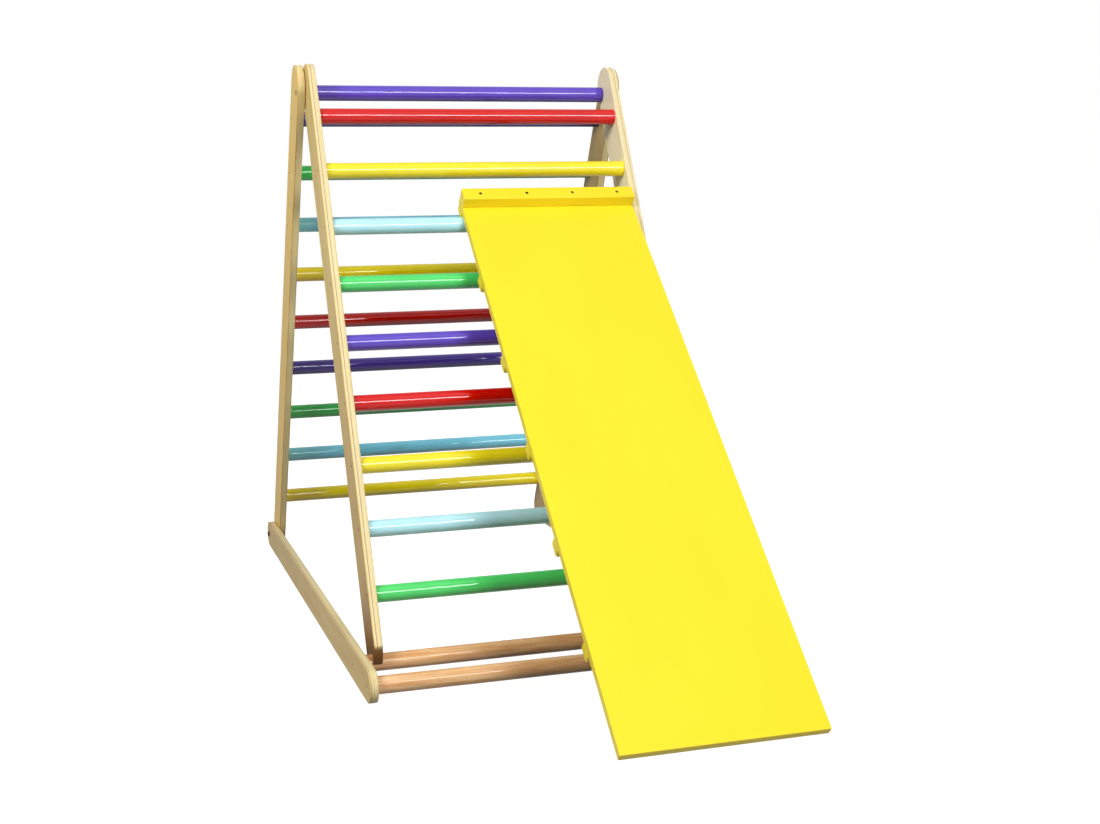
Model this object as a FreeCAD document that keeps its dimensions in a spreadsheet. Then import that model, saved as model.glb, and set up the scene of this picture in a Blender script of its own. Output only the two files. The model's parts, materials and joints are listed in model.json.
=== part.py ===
import FreeCAD, Part
import math
import os
import Sketcher

# A children's climbing ladder: two ladders hinged at the top, a floor frame that keeps their
# feet apart, and a sliding board hooked over a rung. X runs across the rungs, +Y from the
# sliding board towards the back, +Z up. The origin is on the floor, midway along and across.

# Driving dimensions in millimetres, and the notch's flare in degrees.
SIZES = {
    # stock
    "ply_thickness": 15,
    "dowel_diameter": 30,
    "edge_easing": 1.2,
    "dowel_chamfer": 0.8,
    # the three ply layers on each side, from the inside out
    "front_clear_width": 596,
    "layer_gap": 1.5,
    # ladders
    "pivot_height": 1015,
    "stile_width": 80,
    "stile_offset": 21,
    "stile_crown": 5,
    "rung_offset": 19,
    "first_rung_drop": 74,
    "front_rung_pitch": 116.5,
    "rear_rung_pitch": 118.8,
    # feet and floor frame
    "plank_height": 56,
    "front_reach": 530,
    "rear_reach": 530,
    "spare_dowel_spacing": 122,
    "front_foot_tail": 30,
    "rear_foot_tail": 18,
    "notch_clearance": 0.3,
    "notch_flare": 24,
    # sliding board
    "board_width": 345,
    "board_thickness": 15,
    "board_side_gap": 1.5,
    "board_foot_reach": 1028,
    "board_head_length": 44,
    "board_rung_gap": 0.3,
    "board_easing": 1.5,
    "top_block_depth": 30,
    "top_block_height": 23,
    "hook_block_depth": 25.5,
    "hook_block_height": 15,
    "hook_gap": 0.5,
    "batten_width": 30,
    "batten_height": 20,
    "batten_easing": 3,
    "first_batten": 191,
    "last_batten_below_rung": 161.7,
    "block_screw_margin": 34.5,
    # countersunk screws with a hexagon socket
    "screw_head_diameter": 7,
    "screw_shank_diameter": 4.5,
    "screw_socket_width": 3,
    "screw_socket_depth": 1.2,
    "rung_screw_length": 45,
    "block_screw_length": 45,
    "batten_screw_length": 30,
    "screw_fit": 0.05,
    # bolts that the ladders and the floor frame turn on
    "bolt_diameter": 6,
    "bolt_running_fit": 0.1,
    "bolt_socket_width": 4,
    "bolt_socket_depth": 2,
    "bolt_end_play": 0.3,
    "pivot_head_diameter": 11,
    "pivot_head_height": 4,
    "pivot_head_clearance": 0.5,
    "pivot_bolt_grip": 16,
    "insert_diameter": 10,
    "insert_length": 20,
    "foot_head_diameter": 12,
    "foot_head_height": 3,
    "foot_head_rounding": 1,
    "sleeve_diameter": 9,
    "flange_diameter": 14,
    "flange_thickness": 2,
    "washer_diameter": 18,
    # how far a cut runs past the piece
    "cut_overrun": 5,
}

FRONT_RUNG_COLOURS = ["purple", "red", "yellow", "light_blue", "green",
                      "purple", "red", "yellow", "light_blue", "green"]
REAR_RUNG_COLOURS = ["purple", "green", "blue", "yellow", "red", "purple", "green", "blue", "yellow"]
BATTEN_COUNT = 5
BLOCK_SCREW_COUNT = 4
# The board hangs over this rung, counted from the top.
BOARD_RUNG = 4
HALF_TURN = 180
QUARTER_TURN = 90
FULL_TURN = 360
COUNTERSINK_ANGLE = 90
SOCKET_SIDES = 6

# Places and angles worked out from the driving dimensions. Distances from a ladder's hinge are
# measured down its stiles (drop) and square to them, away from the other ladder (out).
PLACES = {
    "front_outer": "Sizes.front_clear_width / 2 + Sizes.ply_thickness",
    "rear_inner": "front_outer + Sizes.layer_gap",
    "rear_outer": "rear_inner + Sizes.ply_thickness",
    "plank_inner": "rear_outer + Sizes.layer_gap",
    "plank_outer": "plank_inner + Sizes.ply_thickness",
    "foot_height": "Sizes.plank_height / 2",
    "hinge_drop": "Sizes.pivot_height - foot_height",
    "front_leg": "sqrt(Sizes.front_reach ^ 2 + hinge_drop ^ 2 - Sizes.stile_offset ^ 2)",
    "rear_leg": "sqrt(Sizes.rear_reach ^ 2 + hinge_drop ^ 2 - Sizes.stile_offset ^ 2)",
    "front_lean": "atan(Sizes.front_reach / hinge_drop) - atan(Sizes.stile_offset / front_leg)",
    "rear_lean": "atan(Sizes.rear_reach / hinge_drop) - atan(Sizes.stile_offset / rear_leg)",
    "row_out": "Sizes.stile_offset + Sizes.rung_offset",
    "seat_drop": f"Sizes.first_rung_drop + {BOARD_RUNG - 2} * Sizes.front_rung_pitch",
    "seat_reach": "seat_drop * sin(front_lean) + row_out * cos(front_lean)",
    "seat_height": "Sizes.pivot_height - seat_drop * cos(front_lean) + row_out * sin(front_lean)",
    "seat_gap": "Sizes.dowel_diameter / 2 + Sizes.board_rung_gap",
    "seat_run": "Sizes.board_foot_reach - seat_reach",
    "seat_along": "sqrt(seat_run ^ 2 + seat_height ^ 2 - seat_gap ^ 2)",
    "board_slope": "atan(seat_height / seat_run) + atan(seat_gap / seat_along)",
    "board_length": "seat_along + Sizes.board_head_length",
    "batten_pitch": f"(seat_along - Sizes.last_batten_below_rung - Sizes.first_batten) / {BATTEN_COUNT - 1}",
    "board_nose": "Sizes.board_foot_reach + Sizes.board_thickness * sin(board_slope)",
    "rear_tail": "Sizes.stile_width / 2 - Sizes.rear_foot_tail * sin(rear_lean)",
    "hinge_y": "(board_nose - Sizes.rear_reach - max(rear_tail; foot_height)) / 2",
    "frame_length": "Sizes.front_reach + Sizes.rear_reach",
    "screw_hole": "Sizes.screw_shank_diameter + 2 * Sizes.screw_fit",
    "screw_head_height": "(Sizes.screw_head_diameter - Sizes.screw_shank_diameter) / 2",
    "washer_thickness": "Sizes.layer_gap - Sizes.bolt_end_play",
}
ANGLES = ["front_lean", "rear_lean", "board_slope"]


def moved(x="0", y="0", z="0", axis="vector(1; 0; 0)", angle="0"):
    return f"placement(vector({x}; {y}; {z}); rotation({axis}; {angle}))"


# The frames that pieces are placed in: each ladder's has its origin on the hinge and +Z up the
# stiles, the floor frame's has its origin on the foot bolts and +Z towards the back, and the
# board's has its origin at the foot of its underside and +Y up the slope.
FRONT = moved(y="Places.hinge_y", z="Sizes.pivot_height", angle="-Places.front_lean")
REAR = moved(y="Places.hinge_y", z="Sizes.pivot_height", angle="Places.rear_lean")
FLOOR = moved(y="Places.hinge_y + Sizes.rear_reach", z="Places.foot_height", angle=f"-{QUARTER_TURN}")
BOARD = moved(x="Sizes.front_clear_width / 2 - Sizes.board_side_gap - Sizes.board_width",
              y="Places.hinge_y - Sizes.board_foot_reach", angle="Places.board_slope")
SIDES = {"left": -1, "right": 1}

doc = FreeCAD.newDocument("climbing_ladder")


def fill_sheet():
    sheet = doc.addObject("Spreadsheet::Sheet", "Sizes")
    for row, (name, size) in enumerate(SIZES.items(), start=1):
        sheet.set(f"A{row}", str(size))
        sheet.setAlias(f"A{row}", name)
    doc.recompute()


def work_out_places():
    places = doc.addObject("App::VarSet", "Places")
    for name, rule in PLACES.items():
        places.addProperty("App::PropertyAngle" if name in ANGLES else "App::PropertyFloat", name)
        places.setExpression(name, rule)
    doc.recompute()


def value_of(rule):
    value = doc.getObject("Sizes").evalExpression(rule)
    return float(getattr(value, "Value", value))


# How far below the hinge each rung lies. The front ladder's top rung is on the hinge itself.
def front_drop(step):
    return f"(Sizes.first_rung_drop + {step} * Sizes.front_rung_pitch)"


def rear_drop(step):
    return f"(Sizes.first_rung_drop + {step} * Sizes.rear_rung_pitch)"


def sideways(side, distance):
    return f"{SIDES[side]} * ({distance})"


# Sketches. Every size and place in them is bound to the sheet by a rule.

def new_sketch(body, name, role="YZ_Plane", height=None):
    sketch = body.newObject("Sketcher::SketchObject", name)
    plane = next(part for part in body.Origin.OriginFeatures if part.Role == role)
    sketch.AttachmentSupport = [(plane, "")]
    sketch.MapMode = "FlatFace"
    if height:
        sketch.setExpression("AttachmentOffset", moved(z=height))
    return sketch


def bind(sketch, rule, *terms):
    index = sketch.addConstraint(Sketcher.Constraint(*terms, value_of(rule)))
    sketch.setExpression(f"Constraints[{index}]", rule)


def fix_point(sketch, shape, end, across, up):
    bind(sketch, across, "DistanceX", -1, 1, shape, end)
    bind(sketch, up, "DistanceY", -1, 1, shape, end)


def draw_polygon(sketch, corners):
    points = [FreeCAD.Vector(value_of(across), value_of(up), 0) for across, up in corners]
    lines = [sketch.addGeometry(Part.LineSegment(start, end))
             for start, end in zip(points, points[1:] + points[:1])]
    for line, following in zip(lines, lines[1:] + lines[:1]):
        sketch.addConstraint(Sketcher.Constraint("Coincident", line, 2, following, 1))
    for line, (across, up) in zip(lines, corners):
        fix_point(sketch, line, 1, across, up)


def draw_circle(sketch, across, up, radius):
    centre = FreeCAD.Vector(value_of(across), value_of(up), 0)
    circle = sketch.addGeometry(Part.Circle(centre, FreeCAD.Vector(0, 0, 1), value_of(radius)))
    fix_point(sketch, circle, 3, across, up)
    bind(sketch, radius, "Radius", circle)


def arc_through(centre, radius, start_angle, end_angle):
    circle = Part.Circle(centre, FreeCAD.Vector(0, 0, 1), radius)
    return Part.ArcOfCircle(circle, math.radians(start_angle), math.radians(end_angle))


# A strip with fully rounded ends, standing upright in the sketch.
def draw_round_ended_strip(sketch, across, top, bottom, radius):
    middle, high, low, reach = [value_of(rule) for rule in (across, top, bottom, radius)]
    upper = FreeCAD.Vector(middle, high, 0)
    lower = FreeCAD.Vector(middle, low, 0)
    aside = FreeCAD.Vector(reach, 0, 0)
    crown = sketch.addGeometry(arc_through(upper, reach, 0, HALF_TURN))
    left = sketch.addGeometry(Part.LineSegment(upper - aside, lower - aside))
    toe = sketch.addGeometry(arc_through(lower, reach, HALF_TURN, FULL_TURN))
    right = sketch.addGeometry(Part.LineSegment(lower + aside, upper + aside))
    for shape, following in ((crown, left), (left, toe), (toe, right), (right, crown)):
        sketch.addConstraint(Sketcher.Constraint("Coincident", shape, 2, following, 1))
    for arc, up in ((crown, top), (toe, bottom)):
        fix_point(sketch, arc, 3, across, up)
        bind(sketch, radius, "Radius", arc)
        sketch.addConstraint(Sketcher.Constraint("Horizontal", arc, 3, arc, 1))
        sketch.addConstraint(Sketcher.Constraint("Horizontal", arc, 3, arc, 2))


# PartDesign features.

def new_body(label, place):
    body = doc.addObject("PartDesign::Body", label)
    body.Label = label
    body.setExpression("Placement", place)
    return body


def pad(body, sketch, length, inwards=False):
    feature = body.newObject("PartDesign::Pad", "pad")
    feature.Profile = sketch
    feature.Reversed = inwards
    feature.setExpression("Length", length)
    doc.recompute()
    return feature


def pocket(body, sketch, depth=None, reverse=False):
    feature = body.newObject("PartDesign::Pocket", "pocket")
    feature.Profile = sketch
    feature.Reversed = reverse
    if depth:
        feature.setExpression("Length", depth)
    else:
        feature.Type = "ThroughAll"
    doc.recompute()
    return feature


def fillet(body, base, names, radius):
    feature = body.newObject("PartDesign::Fillet", "fillet")
    feature.Base = (base, names)
    feature.setExpression("Radius", radius)
    doc.recompute()
    return feature


def faces_square_to(feature, direction):
    names = []
    for index, face in enumerate(feature.Shape.Faces, start=1):
        if isinstance(face.Surface, Part.Plane) and face.Surface.Axis.cross(direction).Length < face.Tolerance:
            names.append(f"Face{index}")
    return names


# Countersunk screw holes, drilled from the sketch's plane.
def screw_holes(body, spots, reverse, height=None, role="YZ_Plane"):
    sketch = new_sketch(body, "screw_places", role, height)
    for across, up in spots:
        draw_circle(sketch, across, up, "Places.screw_hole / 2")
    doc.recompute()
    hole = body.newObject("PartDesign::Hole", "screw_holes")
    hole.Profile = sketch
    hole.Reversed = reverse
    hole.DepthType = "ThroughAll"
    hole.setExpression("Diameter", "Places.screw_hole")
    hole.HoleCutType = "Countersink"
    hole.HoleCutCustomValues = True
    hole.setExpression("HoleCutDiameter", "Sizes.screw_head_diameter + 2 * Sizes.screw_fit")
    hole.HoleCutCountersinkAngle = COUNTERSINK_ANGLE
    doc.recompute()
    return hole


def round_hole(body, name, across, up, radius, reverse, depth=None, height=None, role="YZ_Plane"):
    sketch = new_sketch(body, name, role, height)
    draw_circle(sketch, across, up, radius)
    return pocket(body, sketch, depth, reverse)


# Ply strips: the stiles of both ladders and the planks of the floor frame.

# The strip's outer face lies on its own YZ plane, and its thickness goes inwards.
def ply_strip(label, side, frame, outer_face, across, top, bottom, width):
    body = new_body(label, f"{frame} * {moved(x=sideways(side, outer_face))}")
    sketch = new_sketch(body, "outline")
    draw_round_ended_strip(sketch, across, top, bottom, width)
    blank = pad(body, sketch, "Sizes.ply_thickness", inwards=side == "right")
    fillet(body, blank, faces_square_to(blank, FreeCAD.Vector(1, 0, 0)), "Sizes.edge_easing")
    return body


# The open notch in a front foot: it sits over the floor frame's dowel, with one wall along the
# stile and the other flared, so that the dowel can swing out towards the back.
def cut_foot_notch(body, side):
    radius = "(Sizes.dowel_diameter / 2 + Sizes.notch_clearance)"
    mouth = "(Sizes.stile_width / 2 - Sizes.front_foot_tail + Sizes.cut_overrun)"
    middle = "-Sizes.stile_offset"
    rise = f"{radius} * sin(Sizes.notch_flare * 1 deg)"
    shoulder = (f"{middle} + {radius} * cos(Sizes.notch_flare * 1 deg)", f"-Places.front_leg + {rise}")
    low = f"-Places.front_leg - {mouth}"
    lip = f"{shoulder[0]} + ({rise} + {mouth}) * tan(Sizes.notch_flare * 1 deg)"
    sketch = new_sketch(body, "notch")
    centre = FreeCAD.Vector(value_of(middle), value_of("-Places.front_leg"), 0)
    start = FreeCAD.Vector(value_of(shoulder[0]), value_of(shoulder[1]), 0)
    wall = centre - FreeCAD.Vector(value_of(radius), 0, 0)
    flare = sketch.addGeometry(Part.LineSegment(FreeCAD.Vector(value_of(lip), value_of(low), 0), start))
    arc = sketch.addGeometry(arc_through(centre, value_of(radius), SIZES["notch_flare"], HALF_TURN))
    front = sketch.addGeometry(Part.LineSegment(wall, FreeCAD.Vector(wall.x, value_of(low), 0)))
    floor = sketch.addGeometry(Part.LineSegment(FreeCAD.Vector(wall.x, value_of(low), 0),
                                                FreeCAD.Vector(value_of(lip), value_of(low), 0)))
    for shape, following in ((flare, arc), (arc, front), (front, floor), (floor, flare)):
        sketch.addConstraint(Sketcher.Constraint("Coincident", shape, 2, following, 1))
    fix_point(sketch, arc, 3, middle, "-Places.front_leg")
    bind(sketch, radius, "Radius", arc)
    bind(sketch, shoulder[1], "DistanceY", -1, 1, arc, 1)
    sketch.addConstraint(Sketcher.Constraint("Horizontal", arc, 3, arc, 2))
    sketch.addConstraint(Sketcher.Constraint("Vertical", front))
    fix_point(sketch, flare, 1, lip, low)
    bind(sketch, low, "DistanceY", -1, 1, front, 2)
    pocket(body, sketch, reverse=side == "left")


def front_stile(side):
    body = ply_strip(f"front_stile_{side}", side, FRONT, "Places.front_outer", "-Sizes.stile_offset",
                     "Sizes.stile_crown", "Sizes.front_foot_tail - Places.front_leg", "Sizes.stile_width / 2")
    cut_foot_notch(body, side)
    inwards = side == "left"
    round_hole(body, "hinge_hole", "0", "0", "Sizes.bolt_diameter / 2 + Sizes.screw_fit", inwards)
    spots = [("-Places.row_out", f"-{front_drop(step)}") for step in range(len(FRONT_RUNG_COLOURS) - 1)]
    screw_holes(body, spots, inwards)


def rear_stile(side):
    body = ply_strip(f"rear_stile_{side}", side, REAR, "Places.rear_outer", "Sizes.stile_offset",
                     "Sizes.stile_crown", "Sizes.rear_foot_tail - Places.rear_leg", "Sizes.stile_width / 2")
    inwards = side == "left"
    round_hole(body, "hinge_hole", "0", "0", "Sizes.bolt_diameter / 2 + Sizes.bolt_running_fit", inwards)
    round_hole(body, "hinge_head_recess", "0", "0",
               "Sizes.pivot_head_diameter / 2 + Sizes.pivot_head_clearance", inwards,
               depth="Sizes.pivot_head_height + Sizes.bolt_end_play")
    round_hole(body, "sleeve_hole", "Sizes.stile_offset", "-Places.rear_leg",
               "Sizes.sleeve_diameter / 2 + Sizes.screw_fit", inwards)
    round_hole(body, "flange_recess", "Sizes.stile_offset", "-Places.rear_leg",
               "Sizes.flange_diameter / 2 + Sizes.screw_fit", not inwards,
               depth="Sizes.flange_thickness", height=sideways(side, "-Sizes.ply_thickness"))
    spots = [("Places.row_out", f"-{rear_drop(step)}") for step in range(len(REAR_RUNG_COLOURS))]
    screw_holes(body, spots, inwards)


FLOOR_DOWELS = {"rear": "-Places.frame_length",
                "front": "-(Places.frame_length + Sizes.spare_dowel_spacing)"}


def base_plank(side):
    body = ply_strip(f"base_plank_{side}", side, FLOOR, "Places.plank_outer", "0", "0",
                     FLOOR_DOWELS["front"], "Places.foot_height")
    inwards = side == "left"
    round_hole(body, "bolt_hole", "0", "0", "Sizes.bolt_diameter / 2 + Sizes.bolt_running_fit", inwards)
    screw_holes(body, [("0", along) for along in FLOOR_DOWELS.values()], inwards)


# Turned dowels: the rungs and the floor frame's cross bars, bored at both ends.

def dowel(label, place, half_length, bore_radius, bore_depth):
    body = new_body(label, place)
    sketch = new_sketch(body, "half_section", "XY_Plane")
    radius = "Sizes.dowel_diameter / 2"
    bevel = "Sizes.dowel_chamfer"
    end = [(half_length, bore_radius), (half_length, f"{radius} - {bevel}"),
           (f"{half_length} - {bevel}", radius)]
    bore = [(f"{half_length} - ({bore_depth})", "0"), (f"{half_length} - ({bore_depth})", bore_radius)]
    right_half = bore + end
    left_half = [(f"-({along})", out) for along, out in reversed(right_half)]
    draw_polygon(sketch, right_half + left_half)
    doc.recompute()
    turning = body.newObject("PartDesign::Revolution", "turning")
    turning.Profile = sketch
    turning.ReferenceAxis = (sketch, ["H_Axis"])
    turning.Angle = FULL_TURN
    return body


def screwed_dowel(label, place, half_length):
    dowel(label, place, half_length, "Places.screw_hole / 2",
          "Sizes.rung_screw_length - Sizes.ply_thickness + Sizes.screw_fit")


def front_rungs():
    half_length = "Sizes.front_clear_width / 2"
    for number, colour in enumerate(FRONT_RUNG_COLOURS, start=1):
        label = f"front_rung_{number}_{colour}"
        if number == 1:
            dowel(label, FRONT, half_length, "Sizes.insert_diameter / 2 + Sizes.screw_fit",
                  "Sizes.insert_length + Sizes.screw_fit")
        else:
            place = f"{FRONT} * {moved(y='-Places.row_out', z=f'-{front_drop(number - 2)}')}"
            screwed_dowel(label, place, half_length)


def rear_rungs():
    for number, colour in enumerate(REAR_RUNG_COLOURS, start=1):
        place = f"{REAR} * {moved(y='Places.row_out', z=f'-{rear_drop(number - 1)}')}"
        screwed_dowel(f"rear_rung_{number}_{colour}", place, "Places.rear_inner")


def base_dowels():
    for name, along in FLOOR_DOWELS.items():
        screwed_dowel(f"base_dowel_{name}", f"{FLOOR} * {moved(z=along)}", "Places.plank_inner")


# The sliding board and the bars screwed to it.

def box_body(label, place, width, depth, height):
    body = new_body(label, place)
    sketch = new_sketch(body, "outline", "XY_Plane")
    draw_polygon(sketch, [("0", "0"), (width, "0"), (width, depth), ("0", depth)])
    return body, pad(body, sketch, height)


def edges_along(feature, direction):
    names = []
    for index, edge in enumerate(feature.Shape.Edges, start=1):
        if edge.tangentAt(edge.FirstParameter).cross(direction).Length < edge.Tolerance:
            names.append(f"Edge{index}")
    return names


def block_screw_places():
    last = f"{BLOCK_SCREW_COUNT - 1}"
    span = "(Sizes.board_width - 2 * Sizes.block_screw_margin)"
    return [f"Sizes.block_screw_margin + {step} * {span} / {last}" for step in range(BLOCK_SCREW_COUNT)]


def batten_screw_places():
    return ["Sizes.block_screw_margin", "Sizes.board_width / 2",
            "Sizes.board_width - Sizes.block_screw_margin"]


# The block screws go through the middle of the top block.
BLOCK_SCREW_ALONG = "Places.board_length - Sizes.top_block_depth / 2"
HOOK_START = "(Places.seat_along + Sizes.dowel_diameter / 2 + Sizes.hook_gap)"


def batten_along(number):
    return f"(Sizes.first_batten + {number} * Places.batten_pitch)"


def sketch_of_screw_places(body, name, spots, height=None):
    sketch = new_sketch(body, name, "XY_Plane", height)
    for across, along in spots:
        draw_circle(sketch, across, along, "Places.screw_hole / 2")
    return sketch


def ramp_board():
    body, blank = box_body("ramp_board", BOARD, "Sizes.board_width", "Places.board_length",
                           "Sizes.board_thickness")
    long_edges = edges_along(blank, FreeCAD.Vector(0, 1, 0))
    fillet(body, blank, long_edges, "Sizes.board_easing")
    through = [(across, BLOCK_SCREW_ALONG) for across in block_screw_places()]
    pocket(body, sketch_of_screw_places(body, "block_screw_places", through), reverse=True)
    blind = [(across, batten_along(number)) for number in range(BATTEN_COUNT)
             for across in batten_screw_places()]
    pocket(body, sketch_of_screw_places(body, "batten_screw_places", blind), reverse=True,
           depth="Sizes.batten_screw_length - Sizes.batten_height + Sizes.screw_fit")


def ramp_top_block():
    start = "(Places.board_length - Sizes.top_block_depth)"
    place = f"{BOARD} * {moved(y=start, z='Sizes.board_thickness')}"
    body, blank = box_body("ramp_top_block", place, "Sizes.board_width", "Sizes.top_block_depth",
                           "Sizes.top_block_height")
    fillet(body, blank, edges_along(blank, FreeCAD.Vector(1, 0, 0)), "Sizes.board_easing")
    spots = [(across, "Sizes.top_block_depth / 2") for across in block_screw_places()]
    screw_holes(body, spots, False, "Sizes.top_block_height", "XY_Plane")


def ramp_hook_block():
    place = f"{BOARD} * {moved(y=HOOK_START, z='-Sizes.hook_block_height')}"
    body, blank = box_body("ramp_hook_block", place, "Sizes.board_width", "Sizes.hook_block_depth",
                           "Sizes.hook_block_height")
    fillet(body, blank, edges_along(blank, FreeCAD.Vector(1, 0, 0)), "Sizes.board_easing")
    spots = [(across, f"{BLOCK_SCREW_ALONG} - {HOOK_START}") for across in block_screw_places()]
    sketch = sketch_of_screw_places(body, "block_screw_places", spots, "Sizes.hook_block_height")
    length = "Sizes.block_screw_length - Sizes.top_block_height - Sizes.board_thickness"
    pocket(body, sketch, depth=f"{length} + Sizes.screw_fit")


def ramp_batten(number):
    start = f"{batten_along(number)} - Sizes.batten_width / 2"
    place = f"{BOARD} * {moved(y=start, z='-Sizes.batten_height')}"
    body, blank = box_body(f"ramp_batten_{number + 1}", place, "Sizes.board_width",
                           "Sizes.batten_width", "Sizes.batten_height")
    under = [name for name in edges_along(blank, FreeCAD.Vector(1, 0, 0))
             if blank.Shape.getElement(name).CenterOfMass.z < blank.Shape.CenterOfMass.z]
    fillet(body, blank, under, "Sizes.batten_easing")
    screw_holes(body, [(across, "Sizes.batten_width / 2") for across in batten_screw_places()],
                True, role="XY_Plane")


# Fasteners. Each points along its own +Z, with the top of its head on the XY plane.

def cylinder(name, radius, height, base):
    piece = doc.addObject("Part::Cylinder", name)
    piece.setExpression("Radius", radius)
    piece.setExpression("Height", height)
    piece.setExpression("Placement", moved(z=base))
    return piece


def joined(name, kind, base, tool):
    piece = doc.addObject(kind, name)
    piece.Base = base
    piece.Tool = tool
    return piece


def hex_socket(name, width, depth):
    socket = doc.addObject("Part::Prism", name)
    socket.Polygon = SOCKET_SIDES
    socket.setExpression("Circumradius", f"{width} / sqrt(3)")
    socket.setExpression("Height", f"{depth} + Sizes.cut_overrun")
    socket.setExpression("Placement", moved(z=f"-{depth}"))
    return socket


def screw(name, place, length):
    head = doc.addObject("Part::Cone", f"{name}_head")
    head.setExpression("Radius1", "Sizes.screw_shank_diameter / 2")
    head.setExpression("Radius2", "Sizes.screw_head_diameter / 2")
    head.setExpression("Height", "Places.screw_head_height")
    head.setExpression("Placement", moved(z="-Places.screw_head_height"))
    shank = cylinder(f"{name}_shank", "Sizes.screw_shank_diameter / 2",
                     f"{length} - Places.screw_head_height", f"-{length}")
    solid = joined(f"{name}_solid", "Part::Fuse", head, shank)
    socket = hex_socket(f"{name}_socket", "Sizes.screw_socket_width", "Sizes.screw_socket_depth")
    piece = joined(name, "Part::Cut", solid, socket)
    piece.setExpression("Placement", place)
    return piece


# A bolt's length is measured from the top of its head.
def bolt(name, place, head_diameter, head_height, length, rounding=None):
    head = cylinder(f"{name}_head", f"{head_diameter} / 2", head_height, f"-{head_height}")
    if rounding:
        doc.recompute()
        rounded = doc.addObject("Part::Fillet", f"{name}_rounded_head")
        rounded.Base = head
        top = next(index for index, edge in enumerate(head.Shape.Edges, start=1)
                   if edge.Closed and edge.CenterOfMass.z > head.Shape.CenterOfMass.z)
        rounded.Edges = [(top, value_of(rounding), value_of(rounding))]
        head = rounded
    shank = cylinder(f"{name}_shank", "Sizes.bolt_diameter / 2", length, f"-({length})")
    solid = joined(f"{name}_solid", "Part::Fuse", head, shank)
    socket = hex_socket(f"{name}_socket", "Sizes.bolt_socket_width", "Sizes.bolt_socket_depth")
    piece = joined(name, "Part::Cut", solid, socket)
    piece.setExpression("Placement", place)
    return piece


def ring(name, place, outer, inner, thickness):
    disc = cylinder(f"{name}_disc", outer, thickness, "0")
    bore = cylinder(f"{name}_bore", inner, f"{thickness} + 2 * Sizes.cut_overrun", "-Sizes.cut_overrun")
    piece = joined(name, "Part::Cut", disc, bore)
    piece.setExpression("Placement", place)
    return piece


def group(label, pieces):
    compound = doc.addObject("Part::Compound", label)
    compound.Label = label
    compound.Links = pieces


# The place of a fastener whose head faces outwards on one side of the object.
def facing_out(frame, side, distance, y="0", z="0"):
    turn = SIDES[side] * QUARTER_TURN
    return f"{frame} * {moved(sideways(side, distance), y, z, 'vector(0; 1; 0)', turn)}"


def dowel_screws(label, frame, outer_face, out, drops):
    places = [(side, drop) for side in SIDES for drop in drops]
    group(label, [screw(f"{label}_{number}", facing_out(frame, side, outer_face, out, drop),
                        "Sizes.rung_screw_length")
                  for number, (side, drop) in enumerate(places, start=1)])


def ramp_screws():
    top = "Sizes.board_thickness + Sizes.top_block_height"
    group("ramp_block_screws",
          [screw(f"block_screw_{number}", f"{BOARD} * {moved(across, BLOCK_SCREW_ALONG, top)}",
                 "Sizes.block_screw_length")
           for number, across in enumerate(block_screw_places(), start=1)])
    group("batten_screws",
          [screw(f"batten_{number + 1}_screw_{step}",
                 f"{BOARD} * {moved(across, batten_along(number), '-Sizes.batten_height', angle=HALF_TURN)}",
                 "Sizes.batten_screw_length")
           for number in range(BATTEN_COUNT)
           for step, across in enumerate(batten_screw_places(), start=1)])


def hinge_hardware():
    length = "2 * Sizes.ply_thickness + Sizes.layer_gap + Sizes.pivot_bolt_grip"
    snug = "Sizes.bolt_diameter / 2 + Sizes.screw_fit"
    group("top_pivot_bolts",
          [bolt(f"pivot_bolt_{side}", facing_out(FRONT, side, "Places.rear_outer"),
                "Sizes.pivot_head_diameter", "Sizes.pivot_head_height", length) for side in SIDES])
    group("top_pivot_washers",
          [ring(f"pivot_washer_{side}", facing_out(FRONT, side, "Places.front_outer"),
                "Sizes.washer_diameter / 2", snug, "Places.washer_thickness") for side in SIDES])
    inner_end = "Sizes.front_clear_width / 2 - Sizes.insert_length"
    group("rung_inserts",
          [ring(f"insert_{side}", facing_out(FRONT, side, inner_end), "Sizes.insert_diameter / 2",
                snug, "Sizes.insert_length") for side in SIDES])


def sleeve_nut(side):
    place = facing_out(REAR, side, "Places.rear_inner", "Sizes.stile_offset", "-Places.rear_leg")
    sleeve = cylinder(f"sleeve_{side}", "Sizes.sleeve_diameter / 2",
                      "Sizes.ply_thickness - Sizes.bolt_end_play", "0")
    flange = cylinder(f"flange_{side}", "Sizes.flange_diameter / 2", "Sizes.flange_thickness", "0")
    solid = joined(f"sleeve_solid_{side}", "Part::Fuse", sleeve, flange)
    bore = cylinder(f"sleeve_bore_{side}", "Sizes.bolt_diameter / 2 + Sizes.screw_fit",
                    "Sizes.ply_thickness + 2 * Sizes.cut_overrun", "-Sizes.cut_overrun")
    piece = joined(f"sleeve_nut_{side}", "Part::Cut", solid, bore)
    piece.setExpression("Placement", place)
    return piece


def foot_hardware():
    head_top = "Places.plank_outer + Sizes.bolt_end_play + Sizes.foot_head_height"
    length = f"{head_top} - Places.rear_inner - Sizes.flange_thickness"
    foot = ("Sizes.stile_offset", "-Places.rear_leg")
    group("foot_pivot_bolts",
          [bolt(f"foot_bolt_{side}", facing_out(REAR, side, head_top, *foot), "Sizes.foot_head_diameter",
                "Sizes.foot_head_height", length, "Sizes.foot_head_rounding") for side in SIDES])
    group("foot_washers",
          [ring(f"foot_washer_{side}", facing_out(REAR, side, "Places.rear_outer", *foot),
                "Sizes.washer_diameter / 2", "Sizes.bolt_diameter / 2 + Sizes.screw_fit",
                "Places.washer_thickness") for side in SIDES])
    group("foot_nuts", [sleeve_nut(side) for side in SIDES])


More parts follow.
